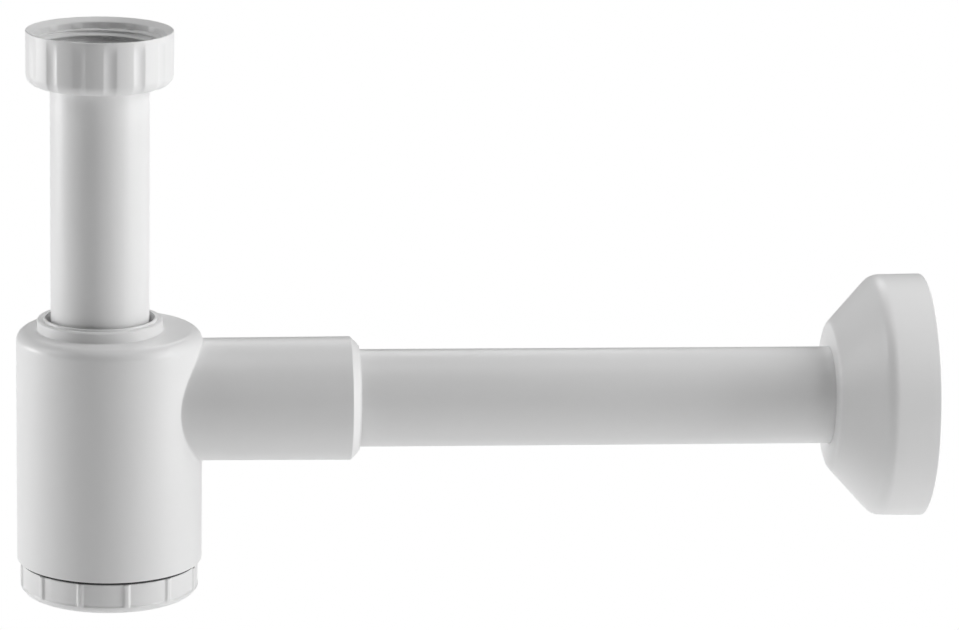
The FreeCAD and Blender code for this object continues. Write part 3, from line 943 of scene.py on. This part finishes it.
def add_pieces():
    """All twelve pieces, each in place of its plain solid."""
    nut = nut_surface()
    add_piece("nut_moulding", nut, ring_faces(*nut.shape[:2]), "union_nut", "moulded_plastic", MOULDED,
              "union_nut")
    add_turned("washer_ring", washer_rows(), INLET_AXIS, "union_washer", "black_rubber", RUBBER,
               "union_washer")
    add_turned("inlet_pipe", inlet_tube_rows(), INLET_AXIS, "inlet_tube", "tube_plastic", INLET_TUBE,
               "inlet_tube")
    seal = seal_rows(inlet_seal_high[0], inlet_seal_low[2], inlet_seal_high[2])
    add_turned("neck_seal_ring", seal, INLET_AXIS, "inlet_seal", "black_rubber", RUBBER, "inlet_seal")
    ring = retainer_rows(ring_high[0], ring_low[2], ring_high[2])
    add_turned("neck_retaining_ring", ring, INLET_AXIS, "trap_body", "moulded_plastic", MOULDED,
               "inlet_seal_retainer")
    points, faces = body_surface()
    add_piece("body_moulding", points, faces, "trap_body", "moulded_plastic", MOULDED, "trap_body")
    seal = seal_rows(outlet_seal_high[1], outlet_seal_low[0], outlet_seal_high[0])
    add_turned("socket_seal_ring", seal, OUTLET_AXIS, "outlet_seal", "black_rubber", RUBBER, "outlet_seal")
    ring = retainer_rows(socket_ring_high[1], socket_ring_low[0], socket_ring_high[0])
    add_turned("socket_retaining_ring", ring, OUTLET_AXIS, "trap_body", "moulded_plastic", MOULDED,
               "outlet_seal_retainer")
    add_turned("outlet_pipe", outlet_tube_rows(), OUTLET_AXIS, "outlet_tube", "tube_plastic", OUTLET_TUBE,
               "outlet_tube")
    add_turned("rosette_shell", rosette_rows(), OUTLET_AXIS, "wall_rosette", "rosette_plastic", ROSETTE,
               "wall_rosette")
    add_turned("gasket_ring", gasket_rows(), BODY_AXIS, "cap_gasket", "black_rubber", RUBBER, "cap_gasket")
    rings, poles = cap_surface()
    points = np.concatenate([rings.reshape(-1, 3), poles])
    add_piece("cap_moulding", points, capped_faces(*rings.shape[:2]), "cleaning_cap", "moulded_plastic",
              MOULDED, "cleaning_cap")


# Floor, light and camera
def camera_ray_mix(tree, hidden, seen):
    """Mixes two shaders: one that only the camera sees, and one that lights the part."""
    light_path = tree.nodes.new("ShaderNodeLightPath")
    mix = tree.nodes.new("ShaderNodeMixShader")
    tree.links.new(light_path.outputs["Is Camera Ray"], mix.inputs[0])
    tree.links.new(hidden, mix.inputs[1])
    tree.links.new(seen, mix.inputs[2])
    return mix.outputs[0]


def add_floor(glow):
    """Plain white floor below the part. The camera sees it as pure white. As light it glows faintly, as a
    light table does, and throws light back."""
    half = FLOOR_HALF_M
    height = (cap_low[2] - FLOOR_DROP) * MM
    mesh = bpy.data.meshes.new("floor")
    corners = [(-half, -half, height), (half, -half, height), (half, half, height), (-half, half, height)]
    mesh.from_pydata(corners, [], [(0, 1, 2, 3)])
    material = bpy.data.materials.new("floor_white")
    material.use_nodes = True
    tree = material.node_tree
    tree.nodes.clear()
    diffuse = add_node(tree, "ShaderNodeBsdfDiffuse", Color=(0.8, 0.8, 0.8, 1))
    white = add_node(tree, "ShaderNodeEmission", Color=(1, 1, 1, 1), Strength=1.0)
    glowing = add_node(tree, "ShaderNodeEmission", Color=(1, 1, 1, 1), Strength=glow)
    lit = tree.nodes.new("ShaderNodeAddShader")
    tree.links.new(diffuse.outputs[0], lit.inputs[0])
    tree.links.new(glowing.outputs[0], lit.inputs[1])
    out = tree.nodes.new("ShaderNodeOutputMaterial")
    tree.links.new(camera_ray_mix(tree, lit.outputs[0], white.outputs[0]), out.inputs["Surface"])
    mesh.materials.append(material)
    floor = bpy.data.objects.new("floor", mesh)
    bpy.context.scene.collection.objects.link(floor)


def add_world(strength):
    """Even surroundings, pure white to the camera. As light they have the given strength."""
    world = bpy.data.worlds.new("studio")
    world.use_nodes = True
    tree = world.node_tree
    tree.nodes.clear()
    dim = add_node(tree, "ShaderNodeBackground", Color=(1, 1, 1, 1), Strength=strength)
    white = add_node(tree, "ShaderNodeBackground", Color=(1, 1, 1, 1), Strength=1.0)
    out = tree.nodes.new("ShaderNodeOutputWorld")
    tree.links.new(camera_ray_mix(tree, dim.outputs[0], white.outputs[0]), out.inputs["Surface"])
    bpy.context.scene.world = world


def add_softbox(name, azimuth, elevation, distance, side, power):
    """Square soft light that faces the part. Its azimuth is 0 on the camera's side, at -Y, and grows
    towards +X."""
    a, e = math.radians(azimuth), math.radians(elevation)
    away = Vector((math.sin(a) * math.cos(e), -math.cos(a) * math.cos(e), math.sin(e)))
    light = bpy.data.lights.new(name, "AREA")
    light.shape = "SQUARE"
    light.size = side
    light.energy = power
    lamp = bpy.data.objects.new(name, light)
    lamp.location = Vector(LAMP_TARGET_M) + away * distance
    lamp.rotation_mode = "QUATERNION"
    lamp.rotation_quaternion = away.to_track_quat("Z", "Y")
    lamp.visible_camera = False
    bpy.context.scene.collection.objects.link(lamp)


def add_camera():
    """Camera at the photograph's place: its look direction is turned by yaw and pitch, then rolled."""
    forward = math.cos(CAMERA_PITCH)
    look = Vector((math.sin(CAMERA_YAW) * forward, math.cos(CAMERA_YAW) * forward, -math.sin(CAMERA_PITCH)))
    level = Vector((math.cos(CAMERA_YAW), -math.sin(CAMERA_YAW), 0))
    upright = level.cross(look)
    right = level * math.cos(CAMERA_ROLL) + upright * math.sin(CAMERA_ROLL)
    up = upright * math.cos(CAMERA_ROLL) - level * math.sin(CAMERA_ROLL)
    data = bpy.data.cameras.new("camera")
    data.sensor_width = SENSOR_WIDTH
    data.lens = FOCAL_PIXELS * SENSOR_WIDTH / IMAGE_WIDTH
    data.clip_start, data.clip_end = 0.1, 20.0
    camera = bpy.data.objects.new("camera", data)
    turned = Matrix((right, up, -look)).transposed().to_4x4()
    turned.translation = Vector(CAMERA_PLACE) * MM
    camera.matrix_world = turned
    bpy.context.scene.collection.objects.link(camera)
    bpy.context.scene.camera = camera


add_pieces()
add_floor(FLOOR_GLOW)
add_world(SURROUNDINGS_GLOW)
for softbox_name, setting in SOFTBOXES.items():
    add_softbox(softbox_name, *setting)
add_camera()
bpy.context.scene.view_settings.view_transform = "Standard"
